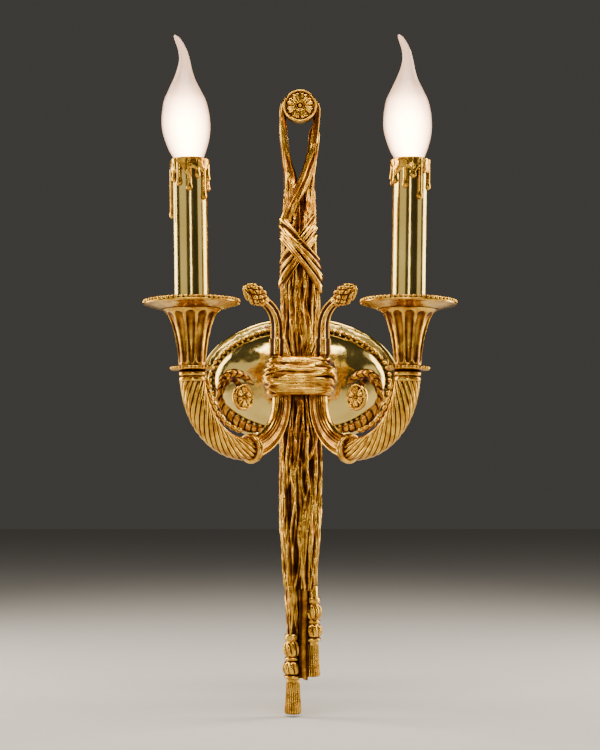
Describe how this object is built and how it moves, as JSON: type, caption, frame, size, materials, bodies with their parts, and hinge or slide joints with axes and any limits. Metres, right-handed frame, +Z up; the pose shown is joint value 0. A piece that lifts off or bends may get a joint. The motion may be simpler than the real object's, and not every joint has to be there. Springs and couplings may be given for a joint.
{
  "type": "wall sconce",
  "caption": "Cast brass wall sconce: ribbon and tassel stem, rope-twist arms, fluted candle cups with drip pans and flame bulbs on an oval plate.",
  "frame": {"origin": "middle of the wall plate's back, on the wall plane", "axes": "+Y into the wall, +Z up, +X to the right seen from the room"},
  "size_m": [0.2262, 0.1739, 0.5],
  "materials": {
    "antique_brass": "cast, gilt and toned, rubbed bright on the high parts",
    "polished_brass": "polished and lacquered",
    "plain_brass": "turned",
    "zinc_steel": "zinc plated",
    "white_plastic": "moulded",
    "black_plastic": "moulded phenolic",
    "cable_sleeve": "round insulated flex",
    "frosted_glass": "frosted, lit from inside",
    "nickel_cap": "nickel plated",
    "lit_filament": "glowing filaments on a glass stem"
  },
  "bodies": {
    "sconce": {"wall_bracket": "zinc_steel", "terminal_block": "white_plastic", "earth_screw": "plain_brass", "plate_screws": "plain_brass", "backplate": "polished_brass", "hub_nipple": "zinc_steel", "hub_nut": "plain_brass", "hub_spacer": "polished_brass", "body_block": "plain_brass", "waist_band": "antique_brass", "stem_upper": "antique_brass", "stem_lower": "antique_brass", "cloth_tail": "antique_brass", "tassel_long": "antique_brass", "tassel_short": "antique_brass", "ribbon_loop": "antique_brass", "hook_boss": "antique_brass", "boss_rosette": "antique_brass", "arm_root_left": "antique_brass", "arm_root_right": "antique_brass", "arm_twist_left": "antique_brass", "arm_twist_right": "antique_brass", "arm_collar_left": "antique_brass", "arm_collar_right": "antique_brass", "scroll_left": "antique_brass", "scroll_right": "antique_brass", "scroll_rosette_left": "antique_brass", "scroll_rosette_right": "antique_brass", "bud_stalk_left": "antique_brass", "bud_stalk_right": "antique_brass", "bud_left": "antique_brass", "bud_right": "antique_brass", "cup_flange_left": "antique_brass", "cup_flange_right": "antique_brass", "fluted_cup_left": "antique_brass", "fluted_cup_right": "antique_brass", "drip_pan_left": "antique_brass", "drip_pan_right": "antique_brass", "candle_tube_left": "polished_brass", "candle_tube_right": "polished_brass", "drip_collar_left": "antique_brass", "drip_collar_right": "antique_brass", "cup_nipple_left": "zinc_steel", "cup_nipple_right": "zinc_steel", "cup_nut_left": "plain_brass", "cup_nut_right": "plain_brass", "lampholder_left": "black_plastic", "lampholder_right": "black_plastic", "lampholder_shell_left": "plain_brass", "lampholder_shell_right": "plain_brass", "cable_left": "cable_sleeve", "cable_right": "cable_sleeve"},
    "bulb_left": {"bulb_glass_left": "frosted_glass", "bulb_cap_left": "nickel_cap", "bulb_filament_left": "lit_filament"},
    "bulb_right": {"bulb_glass_right": "frosted_glass", "bulb_cap_right": "nickel_cap", "bulb_filament_right": "lit_filament"}
  },
  "joints": [
    {"name": "bulb_left_unscrew", "type": "slide", "parent": "sconce", "child": "bulb_left", "axis": [-0.0182, -0.0188, 0.9997], "range_m": [0, 0.02]},
    {"name": "bulb_right_unscrew", "type": "slide", "parent": "sconce", "child": "bulb_right", "axis": [0.0182, -0.0188, 0.9997], "range_m": [0, 0.02]}
  ]
}
